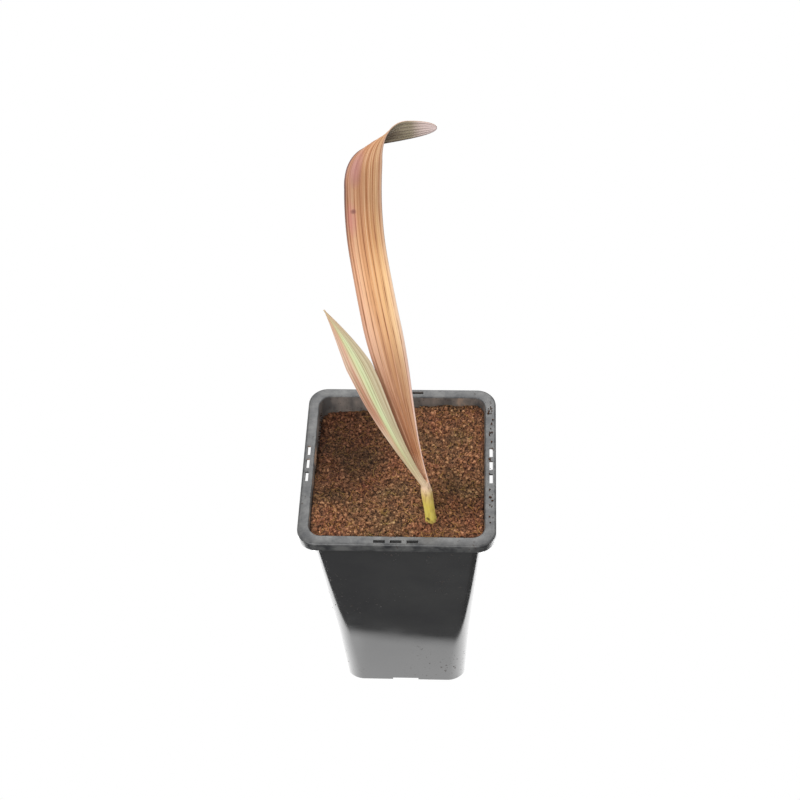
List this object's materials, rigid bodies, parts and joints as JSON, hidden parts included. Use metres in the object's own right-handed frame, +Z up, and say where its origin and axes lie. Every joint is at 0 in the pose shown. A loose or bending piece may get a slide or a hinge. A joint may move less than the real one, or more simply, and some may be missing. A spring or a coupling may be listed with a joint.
{
  "type": "potted palm seedling",
  "caption": "Young palm with simple strap leaves standing in soil in a deep square black plastic nursery pot; the tall leaf's tip rolls back",
  "frame": {"origin": "Centre of the pot's flat underside, on the surface that the pot stands on", "axes": "+Z up along the pot's axis; -Y is the front, the side that faces the viewer in the picture; +X is to the right of the front"},
  "size_m": [0.12, 0.12, 0.4751],
  "materials": {
    "pot_plastic": "satin",
    "soil": "matte",
    "sheath": "satin",
    "short_leaf": "satin",
    "tall_leaf": "satin"
  },
  "bodies": {
    "root": {"pot": "pot_plastic", "soil": "soil", "leaf_sheath": "sheath", "short_leaf": "short_leaf", "tall_leaf": "tall_leaf", "tall_leaf_tip": "tall_leaf"}
  },
  "joints": []
}
